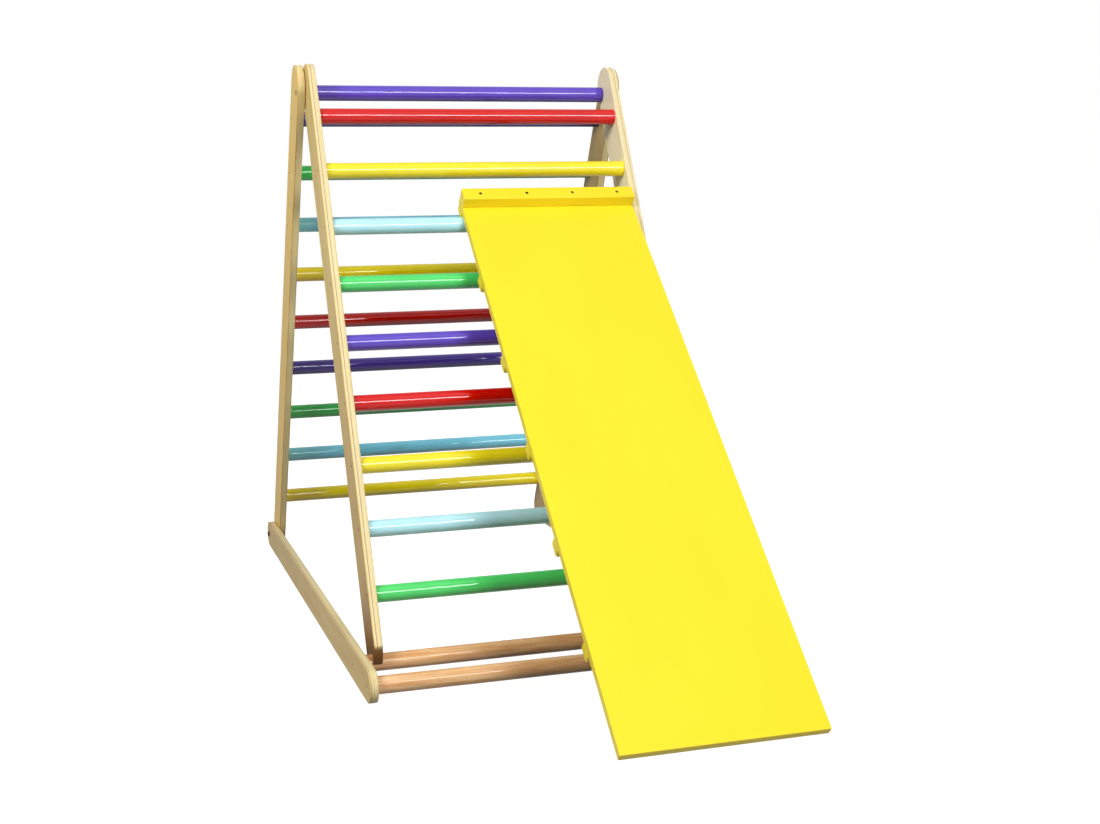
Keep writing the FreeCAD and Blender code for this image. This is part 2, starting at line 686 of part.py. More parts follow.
def build():
    fill_sheet()
    work_out_places()
    for side in SIDES:
        front_stile(side)
        rear_stile(side)
        base_plank(side)
    front_rungs()
    rear_rungs()
    base_dowels()
    ramp_board()
    ramp_top_block()
    ramp_hook_block()
    for number in range(BATTEN_COUNT):
        ramp_batten(number)
    front_drops = [f"-{front_drop(step)}" for step in range(len(FRONT_RUNG_COLOURS) - 1)]
    rear_drops = [f"-{rear_drop(step)}" for step in range(len(REAR_RUNG_COLOURS))]
    dowel_screws("front_rung_screws", FRONT, "Places.front_outer", "-Places.row_out", front_drops)
    dowel_screws("rear_rung_screws", REAR, "Places.rear_outer", "Places.row_out", rear_drops)
    dowel_screws("base_dowel_screws", FLOOR, "Places.plank_outer", "0", FLOOR_DOWELS.values())
    ramp_screws()
    hinge_hardware()
    foot_hardware()
    doc.recompute()


def check_and_export():
    for item in doc.Objects:
        if "Invalid" in item.State or "Error" in item.State:
            raise RuntimeError(f"{item.Label} failed: {item.State}")
        if item.TypeId in ("PartDesign::Pocket", "PartDesign::Hole"):
            if item.Shape.Volume >= item.BaseFeature.Shape.Volume:
                raise RuntimeError(f"{item.Label} cuts nothing")
    sub_parts = [item for item in doc.Objects if item.TypeId in ("PartDesign::Body", "Part::Compound")]
    for item in sub_parts:
        if item.Shape.isNull() or not item.Shape.isValid():
            raise RuntimeError(f"{item.Label} has no valid shape")
    os.makedirs("parts", exist_ok=True)
    for item in sub_parts:
        item.Shape.exportStep(f"parts/{item.Label}.step")
    box = Part.makeCompound([item.Shape for item in sub_parts]).BoundBox
    print(f"{len(sub_parts)} sub-parts, X {box.XMin:.2f} to {box.XMax:.2f},",
          f"Y {box.YMin:.2f} to {box.YMax:.2f}, Z {box.ZMin:.2f} to {box.ZMax:.2f}")


build()
check_and_export()
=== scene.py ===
import json
import math

import bpy
from mathutils import Matrix, Vector


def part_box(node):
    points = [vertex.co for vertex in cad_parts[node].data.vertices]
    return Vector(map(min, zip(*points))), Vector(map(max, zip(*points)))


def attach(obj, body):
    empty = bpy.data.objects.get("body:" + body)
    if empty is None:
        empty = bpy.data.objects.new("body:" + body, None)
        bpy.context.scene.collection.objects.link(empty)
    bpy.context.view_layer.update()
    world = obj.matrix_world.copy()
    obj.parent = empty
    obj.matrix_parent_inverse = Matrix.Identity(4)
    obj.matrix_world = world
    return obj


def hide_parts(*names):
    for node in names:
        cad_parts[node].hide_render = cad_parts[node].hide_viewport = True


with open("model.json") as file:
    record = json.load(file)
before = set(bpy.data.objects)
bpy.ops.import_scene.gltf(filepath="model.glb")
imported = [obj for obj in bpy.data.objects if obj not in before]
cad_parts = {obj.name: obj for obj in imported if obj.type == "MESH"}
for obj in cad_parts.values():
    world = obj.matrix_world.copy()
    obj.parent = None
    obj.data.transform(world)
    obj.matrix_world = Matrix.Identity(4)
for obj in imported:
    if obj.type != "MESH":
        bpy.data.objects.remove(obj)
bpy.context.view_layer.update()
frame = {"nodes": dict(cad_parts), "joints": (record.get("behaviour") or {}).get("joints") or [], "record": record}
record = frame["record"]
jointPlace = {joint["name"]: Vector(joint["pos_m"]) for joint in frame["joints"]}
bodyOf = {node: body for body, nodes in record["behaviour"]["bodies"].items() for node in nodes}
slotOf = {part["node"]: part["material_slot"] for part in record["subparts"]}
sides = {"left": -1, "right": 1}
quarterTurn = math.pi / 2
print("frame loaded with", len(frame["nodes"]), "nodes")


# Modelling helpers

# edges sharper than these angles are eased, and stay sharp when the piece is shaded smooth
easedAngle = math.radians(40)
sharpAngle = math.radians(32)
# a countersink in the ply or the board; its cutter stands half out of the face, so it has a share of the
# radius at the bottom and a greater one above
sinkShape = {"radius": 0.0039, "depth": 0.0022, "points": 32, "inner": 0.45, "outer": 1.25}


def selectOnly(*pieces):
    if bpy.context.mode != "OBJECT":
        bpy.ops.object.mode_set(mode="OBJECT")
    bpy.ops.object.select_all(action="DESELECT")
    for piece in pieces:
        piece.select_set(True)
    if pieces:
        bpy.context.view_layer.objects.active = pieces[0]


def editVertices(piece, wanted):
    # goes into edit mode with the vertices chosen by place
    selectOnly(piece)
    bpy.ops.object.mode_set(mode="EDIT")
    bpy.ops.mesh.select_mode(type="VERT")
    bpy.ops.mesh.select_all(action="DESELECT")
    bpy.ops.object.mode_set(mode="OBJECT")
    for vertex in piece.data.vertices:
        vertex.select = wanted(vertex.co)
    bpy.ops.object.mode_set(mode="EDIT")


def leaveEditMode():
    bpy.ops.object.mode_set(mode="OBJECT")


def addRod(radius, length, centre, vertices, along="X"):
    # a closed cylinder along X, or upright
    selectOnly()
    turn = (0, quarterTurn, 0) if along == "X" else (0, 0, 0)
    bpy.ops.mesh.primitive_cylinder_add(vertices=vertices, radius=radius, depth=length,
                                        location=centre, rotation=turn)
    rod = bpy.context.active_object
    bpy.ops.object.transform_apply(location=True, rotation=True, scale=True)
    return rod


def addBar(low, high):
    # a box between two corners
    selectOnly()
    low, high = Vector(low), Vector(high)
    bpy.ops.mesh.primitive_cube_add(size=1, location=(low + high) / 2, scale=high - low)
    bar = bpy.context.active_object
    bpy.ops.object.transform_apply(location=True, rotation=True, scale=True)
    return bar


def applyModifier(piece, kind, **settings):
    selectOnly(piece)
    bpy.ops.object.modifier_add(type=kind)
    modifier = piece.modifiers[-1]
    for name, value in settings.items():
        setattr(modifier, name, value)
    bpy.ops.object.modifier_apply(modifier=modifier.name)


def easeEdges(piece, width, segments=3):
    applyModifier(piece, "BEVEL", width=width, segments=segments, limit_method="ANGLE",
                  angle_limit=easedAngle, use_clamp_overlap=False)


def cutAway(piece, cutter):
    applyModifier(piece, "BOOLEAN", operation="DIFFERENCE", solver="EXACT", object=cutter)
    bpy.data.objects.remove(cutter)


def countersink(piece, spots, turn):
    # a cone cut out round each spot of the face, turned so that its wide end is outside
    sunk, radius = sinkShape["depth"], sinkShape["radius"]
    cutters = []
    for spot in spots:
        selectOnly()
        bpy.ops.mesh.primitive_cone_add(vertices=sinkShape["points"], radius1=radius * sinkShape["inner"],
                                        radius2=radius * sinkShape["outer"], depth=2 * sunk,
                                        location=spot, rotation=turn)
        cutters.append(bpy.context.active_object)
    cutAway(piece, joined(cutters))


def copyAt(source, place):
    duplicate = source.copy()
    duplicate.data = source.data.copy()
    bpy.context.scene.collection.objects.link(duplicate)
    duplicate.matrix_world = place
    return duplicate


def joined(pieces):
    selectOnly(*pieces)
    if len(pieces) > 1:
        bpy.ops.object.join()
    bpy.ops.object.transform_apply(location=True, rotation=True, scale=True)
    return bpy.context.active_object


def smooth(piece):
    selectOnly(piece)
    bpy.ops.object.shade_smooth_by_angle(angle=sharpAngle)
    applyModifier(piece, "WEIGHTED_NORMAL", keep_sharp=True)


def standFor(piece, node, finish, place=None):
    # moves the piece to its place, if it isn't there yet, and lets it stand for the CAD node
    if place:
        piece.matrix_world = place
        selectOnly(piece)
        bpy.ops.object.transform_apply(location=True, rotation=True, scale=True)
    piece.name = piece.data.name = f"{node}_piece"
    piece.data.materials.clear()
    piece.data.materials.append(finish)
    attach(piece, bodyOf[node])
    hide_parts(node)


# Shader helpers

class Signal:
    # a node's output that can be used in sums
    def __init__(self, recipe, socket):
        self.recipe = recipe
        self.socket = socket

    def combined(self, operation, *others):
        return self.recipe.maths(operation, self, *others)

    def __add__(self, other):
        return self.combined("ADD", other)

    def __sub__(self, other):
        return self.combined("SUBTRACT", other)

    def __rsub__(self, other):
        return self.recipe.maths("SUBTRACT", other, self)

    def __mul__(self, other):
        return self.combined("MULTIPLY", other)

    def __truediv__(self, other):
        return self.combined("DIVIDE", other)

    __radd__ = __add__
    __rmul__ = __mul__

    def absolute(self):
        return self.combined("ABSOLUTE")

    def fraction(self):
        return self.combined("FRACT")

    def pingPong(self, top):
        return self.combined("PINGPONG", top)

    def between(self, low, high):
        # rises smoothly from 0 at low to 1 at high
        return self.recipe.node("ShaderNodeMapRange", {"interpolation_type": "SMOOTHSTEP"},
                                {"Value": self, "From Min": low, "From Max": high})


class Recipe:
    # a material or the world, built node by node
    def __init__(self, holder):
        holder.use_nodes = True
        self.holder = holder
        self.tree = holder.node_tree
        self.tree.nodes.clear()

    def node(self, kind, settings=None, inputs=None, output=0):
        made = self.tree.nodes.new(kind)
        for name, value in (settings or {}).items():
            setattr(made, name, value)
        for name, value in (inputs or {}).items():
            if isinstance(value, Signal):
                self.tree.links.new(value.socket, made.inputs[name])
            else:
                made.inputs[name].default_value = value
        return Signal(self, made.outputs[output]) if made.outputs else None

    def maths(self, operation, *values):
        return self.node("ShaderNodeMath", {"operation": operation}, dict(enumerate(values)))

    def objectPlace(self):
        return self.node("ShaderNodeTexCoord", output="Object")

    def placeIn(self, ownFrame):
        # Object coordinates, turned and shifted into a ladder's or the board's own frame
        turn = (-ownFrame.to_euler().x, 0, 0)
        shift = tuple(ownFrame.to_3x3().inverted() @ -ownFrame.translation)
        return self.node("ShaderNodeMapping", {},
                         {"Vector": self.objectPlace(), "Rotation": turn, "Location": shift})

    def stretched(self, place, factors):
        return self.node("ShaderNodeVectorMath", {"operation": "MULTIPLY"}, {0: place, 1: factors})

    def parts(self, place):
        made = self.node("ShaderNodeSeparateXYZ", {}, {0: place}).socket.node
        return [Signal(self, output) for output in made.outputs]

    def noise(self, place, factors, scale, detail, roughness=0.5, distortion=0.0):
        return self.node("ShaderNodeTexNoise", {"noise_dimensions": "3D"},
                         {"Vector": self.stretched(place, factors), "Scale": scale, "Detail": detail,
                          "Roughness": roughness, "Distortion": distortion})

    def mixed(self, factor, first, second):
        return self.node("ShaderNodeMix", {"data_type": "RGBA"}, {0: factor, 6: first, 7: second}, 2)

    def bump(self, height, distance, strength):
        return self.node("ShaderNodeBump", {},
                         {"Height": height, "Distance": distance, "Strength": strength})

    def seenDirectly(self):
        # 1 for what the camera, gloss and glass see, 0 for light on its way to a surface
        rays = self.node("ShaderNodeLightPath").socket.node.outputs
        seen = Signal(self, rays["Is Camera Ray"])
        for name in ("Is Glossy Ray", "Is Transmission Ray"):
            seen = self.maths("MAXIMUM", seen, Signal(self, rays[name]))
        return seen

    def finish(self, values):
        surface = self.node("ShaderNodeBsdfPrincipled", {}, values)
        self.node("ShaderNodeOutputMaterial", {}, {"Surface": surface})
        return self.holder


def newRecipe(name):
    return Recipe(bpy.data.materials.new(name))


def colour(red, green, blue):
    # a screen colour out of 255, as the light values that the nodes use, by the sRGB curve
    light = [((part / 255 + 0.055) / 1.055) ** 2.4 if part > 10 else part / 3294.6
             for part in (red, green, blue)]
    return (*light, 1.0)


def scaled(shade, share, lift=0.0):
    # a lighter or darker tone of a colour
    return tuple(min(1.0, part * share + lift) for part in shade[:3]) + (1.0,)


# Where the two ladders, the floor frame and the board lie

hinge = jointPlace["front_fold"]
footBolt = jointPlace["floor_frame_fold"]
boardRung = jointPlace["board_tilt"]

# a stile's middle line lies to one side of the hinge line, by the offset; the middles of its round ends
# lie a little above the hinge (crown) and above the floor dowel or the foot bolt (the tails)
ladderShape = {"stileWidth": 0.080, "stileOffset": 0.021, "crown": 0.00493, "frontTail": 0.030,
               "rearTail": 0.018, "rungRadius": 0.015}


def middleOf(node):
    low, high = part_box(node)
    return (low + high) / 2


def leanTo(foot):
    # how far a stile leans, and how long it is from the hinge to its foot
    reach = abs(foot.y - hinge.y)
    drop = hinge.z - foot.z
    offset = ladderShape["stileOffset"]
    leg = math.sqrt(reach ** 2 + drop ** 2 - offset ** 2)
    return math.atan2(reach, drop) - math.atan2(offset, leg), leg


frontLean, frontLeg = leanTo(middleOf("base_dowel_rear"))
rearLean, rearLeg = leanTo(footBolt)
frontFrame = Matrix.Translation(hinge) @ Matrix.Rotation(-frontLean, 4, "X")
rearFrame = Matrix.Translation(hinge) @ Matrix.Rotation(rearLean, 4, "X")
floorFrame = Matrix.Translation(footBolt) @ Matrix.Rotation(-quarterTurn, 4, "X")

# the seat is how far the board's underside lies above the middle of its rung
boardShape = {"thickness": 0.015, "easing": 0.0016, "easingSegments": 4, "seat": 0.0153,
              "screwMargin": 0.0345, "blockDepth": 0.030, "blockHeight": 0.023, "blockEasing": 0.002,
              "blockScrews": 4, "hookHeight": 0.015, "hookGap": 0.0005, "battenWidth": 0.030,
              "battenHeight": 0.020, "battenEasing": 0.0045, "battenScrews": 3}
battens = [node for node in frame["nodes"] if node.startswith("ramp_batten_")]


def boardSlope():
    # the board's foot is on the floor and its underside lies on the rung; the slope settles in a few rounds
    low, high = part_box("ramp_board")
    slope, rounds = math.radians(45), 20
    for _ in range(rounds):
        foot = low.y + boardShape["thickness"] * math.sin(slope)
        run, rise = boardRung.y - foot, boardRung.z
        slope = math.atan2(rise, run) + math.asin(boardShape["seat"] / math.hypot(run, rise))
    length = (high.z - boardShape["thickness"] * math.cos(slope)) / math.sin(slope)
    return slope, foot, length


boardAngle, boardFoot, boardLength = boardSlope()
boardFrame = Matrix.Translation((0, boardFoot, 0)) @ Matrix.Rotation(boardAngle, 4, "X")


def inFrame(ownFrame, point):
    return ownFrame.inverted() @ Vector(point)


# Birch ply, clear lacquered: thin veneers through the thickness, rotary cut grain on the faces

# the brown for the strips and the feet is partly painted shade, the stain is partly painted shade, and the palest
# tone is partly painted light
plyLook = {"veneers": 11, "pale": colour(236, 211, 138), "warm": colour(217, 183, 106),
           "edge": colour(250, 238, 192), "crossed": colour(240, 220, 160), "glue": colour(140, 92, 34),
           "pore": colour(176, 134, 72), "stainAndShade": colour(96, 50, 10), "agedAndShaded": colour(182, 143, 72),
           "bleachedAndLit": colour(255, 242, 202), "honey": colour(255, 208, 98)}

# a front stile's foot: the faces darken towards the tip as painted shade, and a brown stain, partly painted shade,
# covers the tip; how far each reaches up from the tip, and how strong it is
footStainAndShade = {"shadeFrom": 0.1, "shadeTo": 0.9, "shadeShare": 0.75, "stainTo": 0.2, "stainOnEdgeTo": 0.03,
            "stainShare": 0.88, "edgeFrom": 0.0005, "edgeTo": 0.005}


def stainedShadedFoot(recipe, wood, width, along, tone, tip):
    # painted shade darkens the faces far up, away from the front edge; the stain, partly painted shade, reaches up
    # the faces but covers only the tip of the front edge
    frontEdge = -ladderShape["stileOffset"] - ladderShape["stileWidth"] / 2
    edge = 1 - width.between(frontEdge + footStainAndShade["edgeFrom"], frontEdge + footStainAndShade["edgeTo"])
    height = along - tip + (tone - 0.5) * 0.03
    agedAndShaded = 1 - height.between(footStainAndShade["shadeFrom"], footStainAndShade["shadeTo"])
    wood = recipe.mixed(agedAndShaded * (1 - edge) * footStainAndShade["shadeShare"], wood, plyLook["agedAndShaded"])
    onEdge = edge * (footStainAndShade["stainTo"] - footStainAndShade["stainOnEdgeTo"])
    stainAndShade = 1 - height.between(0.0, footStainAndShade["stainTo"] - onEdge)
    return recipe.mixed(stainAndShade * footStainAndShade["stainShare"], wood, plyLook["stainAndShade"])


def faceGrain(recipe, local, width):
    # wandering figure lines, and broad tone, fine fibre and pores along the strip
    wander = recipe.noise(local, (1, 1, 0.25), 7, 2)
    figureLine = (width + wander * 0.05) * 46 + recipe.noise(local, (1, 1, 0.09), 22, 3) * 5
    figure = figureLine.fraction().pingPong(0.5) * 2
    tone = recipe.noise(local, (1, 1, 0.12), 30, 4, 0.6, 0.6)
    fibre = recipe.noise(local, (1, 1, 0.02), 900, 2, 0.6)
    pores = recipe.noise(local, (1, 1, 0.05), 1500, 1).between(0.66, 0.74)
    return figure, tone, fibre, pores


def birchPly(name, ownFrame, inner, thickness, darkVeneer, toneAndShading, stainedShadedTip=None):
    recipe = newRecipe(name)
    local = recipe.placeIn(ownFrame)
    across, width, along = recipe.parts(local)
    depth = (across.absolute() - inner) / thickness
    veneer = depth * plyLook["veneers"]
    # every other veneer is crossed, the glue seams lie between them, and the faces are one veneer deep
    crossed = (veneer / 2).fraction().between(0.47, 0.53)
    seam = 1 - veneer.pingPong(0.5).between(0.02, 0.15)
    inside = depth.pingPong(0.5).between(0.5 / plyLook["veneers"], 0.9 / plyLook["veneers"])
    # each veneer is darker on some stretches than on others
    stretch = recipe.node("ShaderNodeCombineXYZ", {}, {"X": veneer.combined("FLOOR") * 3.7, "Z": along * 4})
    uneven = recipe.noise(stretch, (1, 1, 1), 1, 3).between(0.42, 0.66)
    dark = 1 - (veneer - darkVeneer).absolute().between(0.2, 0.55)

    figure, tone, fibre, pores = faceGrain(recipe, local, width)
    warmth = tone.between(0.3, 0.75) * 0.55 + figure.between(0.55, 1.0) * 0.35 + fibre * 0.18
    face = recipe.mixed(warmth, plyLook["pale"], plyLook["warm"])
    face = recipe.mixed(pores * 0.35, face, plyLook["pore"])

    # the edge: pale long grain and speckled end grain in turn, with brown seams
    speckle = recipe.noise(local, (1, 1, 1), 2600, 2).between(0.35, 0.7)
    endGrain = recipe.mixed(speckle * 0.12 + uneven * 0.22, plyLook["crossed"], plyLook["glue"])
    longGrain = recipe.mixed(warmth * 0.4, plyLook["edge"], plyLook["warm"])
    wood = recipe.mixed(inside, face, recipe.mixed(crossed * 0.8, longGrain, endGrain))
    wood = recipe.mixed(seam * inside * (0.05 + uneven * 0.2), wood, plyLook["glue"])
    wood = recipe.mixed(dark * inside * (0.45 + tone * 0.6), wood, plyLook["glue"])

    # the whole strip is mixed towards its tone, less so inside; the tone is partly the wood's own and partly
    # painted shade and painted light; a front stile's foot gets a stain and painted shade
    tint, innerShare, outerShare = toneAndShading
    share = innerShare + depth * (outerShare - innerShare)
    wood = recipe.mixed((0.8 + tone * 0.4) * (1 - inside * 0.7) * share, wood, plyLook[tint])
    if stainedShadedTip:
        wood = stainedShadedFoot(recipe, wood, width, along, tone, stainedShadedTip)

    relief = fibre * 0.5 + figure * 0.2 - pores * 0.8 - crossed * (0.4 + speckle * 0.6)
    return recipe.finish({"Base Color": wood, "Roughness": 0.36 + tone * 0.12 + crossed * 0.15,
                          "Normal": recipe.bump(relief, 0.00012, 0.6), "Specular IOR Level": 0.1,
                          "Coat Weight": 0.05, "Coat Roughness": 0.22})


# Gloss paint over a turned dowel

paintColours = {"purple": colour(98, 74, 200), "red": colour(220, 4, 2),
                "yellow": colour(255, 236, 34), "light_blue": colour(190, 243, 255),
                "green": colour(84, 226, 114), "blue": colour(134, 226, 255),
                "shaded_yellow": colour(255, 232, 10), "shaded_purple": colour(74, 54, 160), "shaded_red": colour(192, 1, 1),
                "shaded_green": colour(50, 194, 84)}
# the rear ladder's rungs take deeper, warmer copies of the front paints: painted shade
rearShadedPaints = {"yellow": "shaded_yellow", "purple": "shaded_purple", "red": "shaded_red", "green": "shaded_green"}
# at each end, next to the stile, the paint is darkened as painted shade in the joint, and it is a little rougher
# there
shadedEndWidth = 0.006


def glossPaint(name, shade, halfLength):
    recipe = newRecipe(name)
    local = recipe.objectPlace()
    across = recipe.parts(local)[0]
    cloud = recipe.noise(local, (1, 1, 1), 14, 2)
    # painted shade: the paint turns darker towards each end, where the rung meets the stile
    shadedEnd = across.absolute().between(halfLength - shadedEndWidth, halfLength)
    coat = recipe.mixed(cloud.between(0.35, 0.75) * 0.35 + shadedEnd * 0.5, shade, scaled(shade, 0.8))
    # the wood's grain and a few specks of dust show through the gloss
    woodUnder = recipe.noise(local, (0.02, 1, 1), 800, 3, 0.6)
    nibs = recipe.noise(local, (1, 1, 1), 700, 0).between(0.78, 0.86)
    relief = woodUnder * 0.25 + nibs * 0.75
    return recipe.finish({"Base Color": coat, "Roughness": 0.3 + cloud * 0.1 + shadedEnd * 0.15,
                          "Normal": recipe.bump(relief, 0.00001, 0.3), "Specular IOR Level": 0.0,
                          "Coat Weight": 0.72, "Coat Roughness": 0.05})


# Oiled hardwood dowel, straight grained along X

dowelLook = {"light": colour(250, 212, 162), "dark": colour(206, 128, 52), "ray": colour(136, 66, 14)}


def hardwoodDowel():
    recipe = newRecipe("natural_dowel")
    local = recipe.objectPlace()
    band = recipe.noise(local, (0.05, 1, 1), 150, 4, 0.6, 0.4)
    fibre = recipe.noise(local, (0.02, 1, 1), 1400, 2, 0.6)
    rays = recipe.noise(local, (0.12, 1, 1), 1500, 1).between(0.64, 0.72)
    tone = recipe.noise(local, (0.5, 1, 1), 9, 2)
    wood = recipe.mixed(band.between(0.3, 0.7) * 0.6 + fibre * 0.25 + tone * 0.2 - 0.1,
                        dowelLook["light"], dowelLook["dark"])
    wood = recipe.mixed(rays * 0.5, wood, dowelLook["ray"])
    relief = fibre * 0.6 + band * 0.4 - rays * 0.7
    return recipe.finish({"Base Color": wood, "Roughness": 0.3 + band * 0.12,
                          "Normal": recipe.bump(relief, 0.00008, 0.3), "Specular IOR Level": 0.0,
                          "Coat Weight": 0.35, "Coat Roughness": 0.12})


# Yellow paint on the sliding board, its blocks and battens

boardPaint = {"yellow": colour(252, 230, 43), "deep": colour(248, 215, 18), "line": colour(206, 168, 14)}


def yellowBoardPaint(name, veneered):
    # brushed along the board; on the board's edges the veneers show faintly through the paint
    recipe = newRecipe(name)
    local = recipe.placeIn(boardFrame)
    height = recipe.parts(local)[2]
    cloud = recipe.noise(local, (1, 0.4, 1), 6, 3)
    grain = recipe.noise(local, (1, 0.03, 1), 420, 3, 0.6, 0.3)
    stipple = recipe.noise(local, (1, 1, 1), 900, 2)
    scuffs = recipe.noise(local, (1, 0.015, 1), 260, 2).between(0.62, 0.75)
    coat = recipe.mixed(cloud.between(0.3, 0.75) * 0.3 + grain * 0.12,
                        boardPaint["yellow"], boardPaint["deep"])
    relief = grain * 0.7 + stipple * 0.45
    if veneered:
        depth = height / boardShape["thickness"]
        seam = 1 - (depth * plyLook["veneers"]).pingPong(0.5).between(0.05, 0.2)
        seam = seam * depth.pingPong(0.5).between(0.06, 0.1)
        coat = recipe.mixed(seam * 0.15, coat, boardPaint["line"])
        relief = relief - seam * 1.5
    return recipe.finish({"Base Color": coat, "Roughness": 0.4 + cloud * 0.1 - scuffs * 0.06,
                          "Normal": recipe.bump(relief, 0.00018, 0.35), "Specular IOR Level": 0.25,
                          "Coat Weight": 0.1, "Coat Roughness": 0.2})


# Metals

def metal(name, shade, roughness, metallic=1.0):
    recipe = newRecipe(name)
    local = recipe.objectPlace()
    cloud = recipe.noise(local, (1, 1, 1), 400, 3)
    scratch = recipe.noise(local, (1, 1, 1), 3000, 2)
    tone = recipe.mixed(scratch.between(0.55, 0.75) * 0.5, shade, scaled(shade, 1.6, 0.02))
    return recipe.finish({"Base Color": tone, "Roughness": roughness + cloud * 0.2, "Metallic": metallic,
                          "Normal": recipe.bump(scratch, 0.00005, 0.4)})


darkSteel = metal("dark_steel", colour(26, 21, 15), 0.5, 0.35)
brightSteel = metal("bright_steel", colour(168, 165, 160), 0.3)
insertBrass = metal("insert_brass", colour(190, 150, 80), 0.3)
print("metals made")


# Stiles and planks: a round ended strip of ply, with eased edges and sunk screws

stripDetail = {"roundPoints": 98, "easing": 0.0013, "notchRadius": 0.0153, "notchPoints": 66,
               "notchFlare": math.radians(24), "cutterWidth": 0.04, "boltRecess": 0.006,
               "boltRecessDepth": 0.0043, "recessPoints": 48}


def roundEndedStrip(node, centreLine, top, bottom, radius):
    # a rod as wide as the strip is thick, with its lower half drawn down to the bottom end
    low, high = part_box(node)
    strip = addRod(radius, high.x - low.x, ((low.x + high.x) / 2, centreLine, top),
                   stripDetail["roundPoints"])
    editVertices(strip, lambda place: place.z < top)
    bpy.ops.transform.translate(value=(0, 0, bottom - top))
    leaveEditMode()
    return strip


def cutNotch(strip, centreLine, foot):
    # open at the tip, one wall straight and one flared towards the back
    radius = stripDetail["notchRadius"]
    reach = 2 * radius
    corners = [Vector(corner) for corner in strip.bound_box]
    middle = sum(corners, Vector()) / len(corners)
    cutter = addRod(radius, stripDetail["cutterWidth"], (middle.x, centreLine, foot),
                    stripDetail["notchPoints"])
    editVertices(cutter, lambda place: place.z < foot)
    bpy.ops.transform.translate(value=(0, 0, -reach))
    leaveEditMode()
    editVertices(cutter, lambda place: place.z < foot - radius and place.y > centreLine)
    bpy.ops.transform.translate(value=(0, (reach + radius) * math.tan(stripDetail["notchFlare"]), 0))
    leaveEditMode()
    cutAway(strip, cutter)


# the veneer that shows darkest on the edge, counted from the inner face
darkVeneers = {"front_stile": 7, "rear_stile": 9.9, "base_plank": 9}
# the tone each strip is mixed towards, and how far on its inner and on its outer face: honey is the rear left
# stile's own warmer wood; the brown is partly the wood's own and partly painted shade, on the rear right stile and
# the planks; the pale tone on the front right stile's inner face is partly painted light
stripTonesAndShading = {"front_stile_left": ("agedAndShaded", 0.0, 0.0), "front_stile_right": ("bleachedAndLit", 0.95, 0.3),
             "rear_stile_left": ("honey", 0.3, 0.6), "rear_stile_right": ("agedAndShaded", 0.75, 0.2),
             "base_plank_left": ("agedAndShaded", 0.4, 0.5), "base_plank_right": ("agedAndShaded", 0.3, 0.3)}


# what each kind of strip is screwed to; the top rung has no screws, because the pivot bolts hold it
crossBars = {"front_stile": "front_rung_", "rear_stile": "rear_rung_", "base_plank": "base_dowel_"}
ownFrames = {"front_stile": frontFrame, "rear_stile": rearFrame, "base_plank": floorFrame}
boltedRung = "front_rung_1_purple"


def screwSpots(kind):
    # where a strip's screws are, in its own frame
    bars = [node for node in frame["nodes"] if node.startswith(crossBars[kind])
            and not node.endswith("screws") and node != boltedRung]
    spots = [inFrame(ownFrames[kind], middleOf(node)) for node in bars]
    return [(spot.y, spot.z) for spot in spots]


def outerFace(node, side):
    low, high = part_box(node)
    return (low if side < 0 else high).x


def finishStrip(strip, kind, name):
    # eased edges, countersinks on the outer face, and the strip's own wood
    node, side = f"{kind}_{name}", sides[name]
    outer, inner = outerFace(node, side), outerFace(node, -side)
    easeEdges(strip, stripDetail["easing"])
    countersink(strip, [(outer, y, z) for y, z in screwSpots(kind)], (0, side * quarterTurn, 0))
    if kind == "rear_stile":
        recess = addRod(stripDetail["boltRecess"], 2 * stripDetail["boltRecessDepth"], (outer, 0, 0),
                        stripDetail["recessPoints"])
        cutAway(strip, recess)
    smooth(strip)
    tip = ladderShape["frontTail"] - ladderShape["stileWidth"] / 2 - frontLeg
    ply = birchPly(f"ply_{node}", ownFrames[kind], abs(inner), abs(outer) - abs(inner), darkVeneers[kind],
                   stripTonesAndShading[node], tip if kind == "front_stile" else None)
    standFor(strip, node, ply, ownFrames[kind])


def buildStrips():
    radius, offset = ladderShape["stileWidth"] / 2, ladderShape["stileOffset"]
    crown = ladderShape["crown"]
    frontEnd, rearEnd = ladderShape["frontTail"] - frontLeg, ladderShape["rearTail"] - rearLeg
    floorEnd = min(z for y, z in screwSpots("base_plank"))
    for name in sides:
        strip = roundEndedStrip(f"front_stile_{name}", -offset, crown, frontEnd, radius)
        cutNotch(strip, -offset, -frontLeg)
        finishStrip(strip, "front_stile", name)
        strip = roundEndedStrip(f"rear_stile_{name}", offset, crown, rearEnd, radius)
        finishStrip(strip, "rear_stile", name)
        # a plank stands on the floor on edge, with its bolt at half its height
        strip = roundEndedStrip(f"base_plank_{name}", 0, 0, floorEnd, footBolt.z)
        finishStrip(strip, "base_plank", name)
    print("stiles and planks made")


# Rungs and floor dowels

rungDetail = {"bevel": 0.0008, "bevelSegments": 2, "points": 72}


def paintFor(node):
    # one paint for all rungs of the same colour and length
    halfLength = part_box(node)[1].x
    paint = slotOf[node].removesuffix("_paint")
    # the rear rungs take the deeper copies of their paints, as painted shade
    if node.startswith("rear_rung_"):
        paint = rearShadedPaints.get(paint, paint)
    name = f"gloss_{paint}_{round(halfLength * 1000)}"
    return bpy.data.materials.get(name) or glossPaint(name, paintColours[paint], halfLength)


def buildDowels():
    natural = hardwoodDowel()
    for node in list(frame["nodes"]):
        if node.endswith("screws") or not node.startswith(tuple(crossBars.values())):
            continue
        low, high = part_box(node)
        rod = addRod(ladderShape["rungRadius"], high.x - low.x, (low + high) / 2, rungDetail["points"])
        easeEdges(rod, rungDetail["bevel"], rungDetail["bevelSegments"])
        smooth(rod)
        standFor(rod, node, natural if node.startswith("base_dowel_") else paintFor(node))
    print("rungs and dowels made")


# The sliding board: its own frame has X across, Y up along the board and Z square to it

